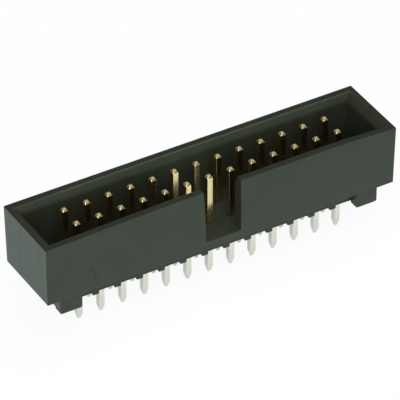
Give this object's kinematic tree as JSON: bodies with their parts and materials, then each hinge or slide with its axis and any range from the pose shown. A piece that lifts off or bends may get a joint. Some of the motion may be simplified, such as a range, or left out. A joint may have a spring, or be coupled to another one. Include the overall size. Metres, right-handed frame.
{
  "type": "box header",
  "caption": "Shrouded vertical through-hole box header for a ribbon-cable socket, with a two-row grid of square contacts and one key slot.",
  "frame": {"origin": "middle of the contact grid on the board's upper surface, level with the undersides of the feet and ribs", "axes": "+X along the rows of contacts, -Y towards the keyed wall and the first contact's row, +Z out of the mouth towards the cable socket"},
  "size_m": [0.0408, 0.0088, 0.0124],
  "materials": {
    "moulded_body": "black glass-filled moulding with a fine satin grain",
    "contact_metal": "gold flash on the mating end and bright tin on the solder tail"
  },
  "bodies": {
    "root": {"housing": "moulded_body", "contact_01": "contact_metal", "contact_02": "contact_metal", "contact_03": "contact_metal", "contact_04": "contact_metal", "contact_05": "contact_metal", "contact_06": "contact_metal", "contact_07": "contact_metal", "contact_08": "contact_metal", "contact_09": "contact_metal", "contact_10": "contact_metal", "contact_11": "contact_metal", "contact_12": "contact_metal", "contact_13": "contact_metal", "contact_14": "contact_metal", "contact_15": "contact_metal", "contact_16": "contact_metal", "contact_17": "contact_metal", "contact_18": "contact_metal", "contact_19": "contact_metal", "contact_20": "contact_metal", "contact_21": "contact_metal", "contact_22": "contact_metal", "contact_23": "contact_metal", "contact_24": "contact_metal", "contact_25": "contact_metal", "contact_26": "contact_metal"}
  },
  "joints": []
}
